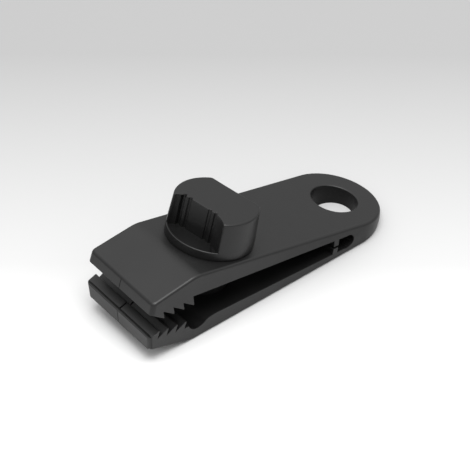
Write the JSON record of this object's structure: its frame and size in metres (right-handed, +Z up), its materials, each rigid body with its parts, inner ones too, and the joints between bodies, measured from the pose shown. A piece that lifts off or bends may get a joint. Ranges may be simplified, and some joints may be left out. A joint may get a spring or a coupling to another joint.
{
  "type": "tarp clip",
  "caption": "Wedge-shaped black nylon tarp clip: toothed jaws joined by a living hinge, a thumb knob whose screw draws them together, and a round tail with an eye for a cord.",
  "frame": {"origin": "middle of the bounding box, on the level underside of the lower jaw", "axes": "+X from the mouth to the tail eye, +Y across the width, +Z up from the underside to the knob"},
  "size_m": [0.082, 0.026, 0.0289],
  "materials": {
    "moulded_nylon": "satin black nylon with a fine moulded texture",
    "knob_nylon": "satin black nylon, a little smoother than the jaws"
  },
  "bodies": {
    "base": {"lower_jaw": "moulded_nylon", "living_hinge": "moulded_nylon"},
    "upper": {"upper_jaw": "moulded_nylon"},
    "knob": {"thumb_knob": "knob_nylon", "clamp_screw": "knob_nylon"}
  },
  "joints": [
    {"name": "jaw_close", "type": "hinge", "parent": "base", "child": "upper", "pos_m": [0.02244, 0, 0.00392], "axis": [0, -1, 0], "range_deg": [0, 4], "stiffness_Nm_per_rad": 0.5, "deforming": ["living_hinge"]},
    {"name": "knob_spin", "type": "hinge", "parent": "upper", "child": "knob", "pos_m": [-0.01253, 0, 0.01684], "axis": [-0.2462, 0, -0.9692], "range_deg": [0, 300]}
  ],
  "couplings": [
    {"joint": "jaw_close", "follows": "knob_spin", "ratio": 0.013333}
  ]
}
